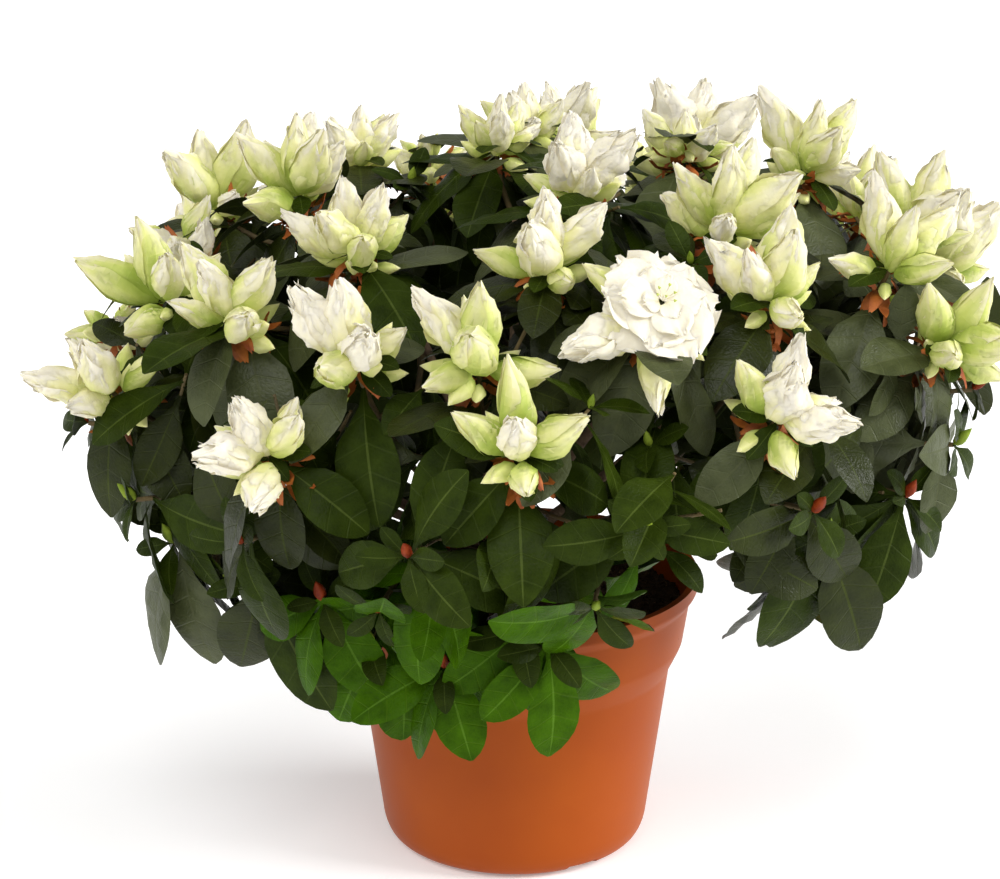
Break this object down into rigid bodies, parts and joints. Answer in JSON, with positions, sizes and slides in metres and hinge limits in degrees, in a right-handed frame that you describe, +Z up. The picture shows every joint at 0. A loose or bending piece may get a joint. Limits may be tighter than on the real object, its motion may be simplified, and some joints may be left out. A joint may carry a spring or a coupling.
{
  "type": "potted azalea shrub",
  "caption": "Low, wide evergreen flowering shrub with whorls of dark leaves and trusses of pointed pale buds, in a round plastic pot with a stepped collar.",
  "frame": {"origin": "centre of the pot's flat underside, on the ground", "axes": "+Z up along the pot's axis, -Y towards the front, +X to the right of the front, along the crown's widest spread"},
  "size_m": [0.3419, 0.3183, 0.2744],
  "materials": {
    "pot_plastic": "moulded terracotta-coloured plastic, satin",
    "peat": "moist dark peat, crumbly",
    "bark": "thin brown bark, fine ridges",
    "foliage": "leathery dark green leaves with a soft sheen, cream to lime buds"
  },
  "bodies": {
    "root": {"pot": "pot_plastic", "root_ball": "peat", "trunk": "bark", "bough_low_1": "bark", "bough_low_2": "bark", "bough_low_3": "bark", "bough_low_4": "bark", "bough_low_5": "bark", "bough_low_6": "bark", "bough_low_7": "bark", "bough_low_8": "bark", "bough_high_1": "bark", "bough_high_2": "bark", "bough_high_3": "bark", "bough_high_4": "bark", "bough_high_5": "bark", "bough_top": "bark", "foliage_low_1": "foliage", "foliage_low_2": "foliage", "foliage_low_3": "foliage", "foliage_low_4": "foliage", "foliage_low_5": "foliage", "foliage_low_6": "foliage", "foliage_low_7": "foliage", "foliage_low_8": "foliage", "foliage_high_1": "foliage", "foliage_high_2": "foliage", "foliage_high_3": "foliage", "foliage_high_4": "foliage", "foliage_high_5": "foliage", "foliage_top": "foliage"}
  },
  "joints": []
}
